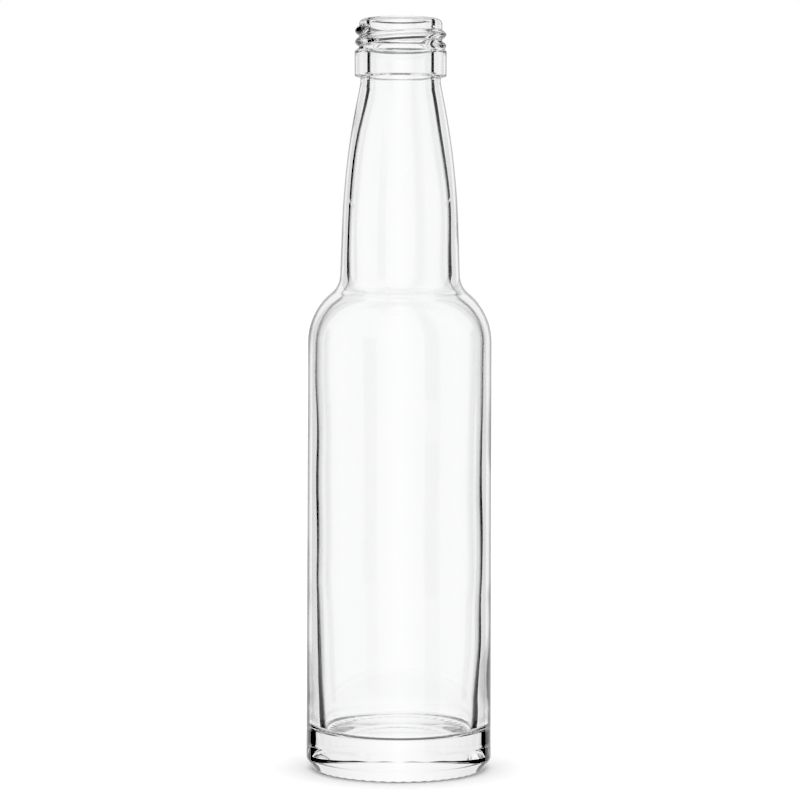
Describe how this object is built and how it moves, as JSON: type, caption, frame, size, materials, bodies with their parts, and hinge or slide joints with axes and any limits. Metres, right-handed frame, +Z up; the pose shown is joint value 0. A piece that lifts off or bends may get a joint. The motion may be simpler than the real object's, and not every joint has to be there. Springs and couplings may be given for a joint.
{
  "type": "schnapps bottle",
  "caption": "Empty clear glass schnapps bottle: round straight-sided body, rounded shoulder, long tapering neck and an open screw finish with a collar.",
  "frame": {"origin": "centre of the base, on the surface that the bottle stands on", "axes": "+Z up along the bottle's axis, towards the mouth; -Y is the side that faces the camera"},
  "size_m": [0.0552, 0.0552, 0.2235],
  "materials": {
    "clear_glass": "smooth, polished, colourless flint glass"
  },
  "bodies": {
    "root": {"bottle": "clear_glass"}
  },
  "joints": []
}
